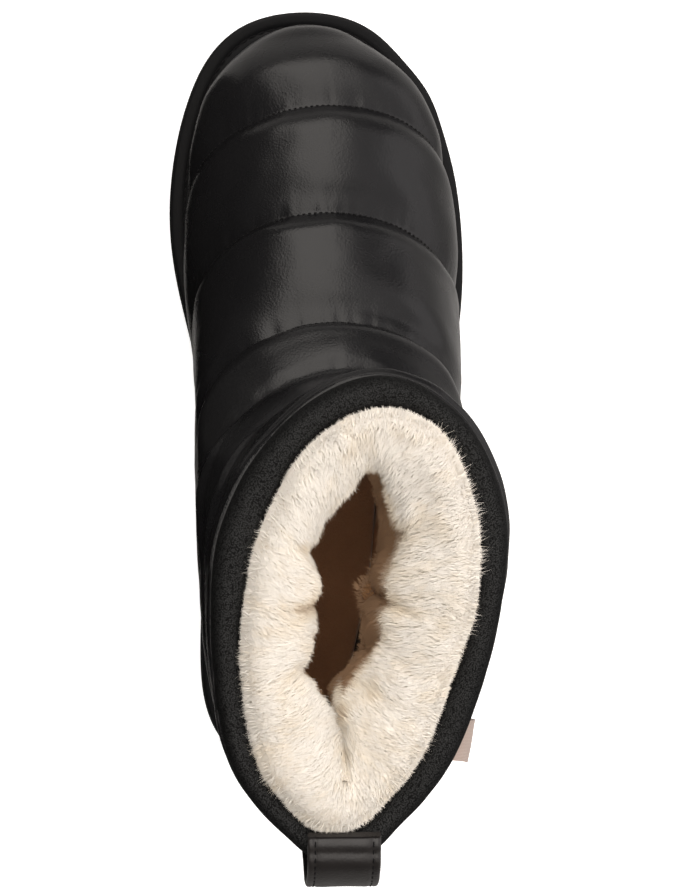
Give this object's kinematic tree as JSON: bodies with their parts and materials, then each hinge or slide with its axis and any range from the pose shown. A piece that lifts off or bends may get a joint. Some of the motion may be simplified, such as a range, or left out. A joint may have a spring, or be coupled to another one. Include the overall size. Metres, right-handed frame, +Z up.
{
  "type": "shearling-lined quilted pull-on ankle boot",
  "caption": "Short pull-on winter boot, right foot: quilted padded leather upper, thick shearling lining, bound collar, rear pull loop and flat lugged sole.",
  "frame": {"origin": "on the floor under the middle of the boot's box", "axes": "+Z up, +Y from heel to toe, +X to the outer (little toe) side of this right boot"},
  "size_m": [0.1081, 0.2978, 0.2032],
  "materials": {
    "sole_rubber": "matt black moulded rubber",
    "welt_rubber": "matt black welt strip with a row of stitches",
    "footbed_wool": "tan wool fleece",
    "upper_leather": "smooth black leather, soft satin gloss, quilted",
    "shearling": "dense cream shearling, about 15 to 20 mm deep",
    "binding_tape": "charcoal ribbed textile tape",
    "loop_leather": "black leather, satin, edge stitched",
    "tag_fabric": "pale pink woven tape, bare"
  },
  "bodies": {
    "root": {"outsole": "sole_rubber", "welt": "welt_rubber", "insole": "footbed_wool", "upper": "upper_leather", "collar_binding": "binding_tape", "pull_loop": "loop_leather", "side_tag": "tag_fabric"}
  },
  "joints": []
}
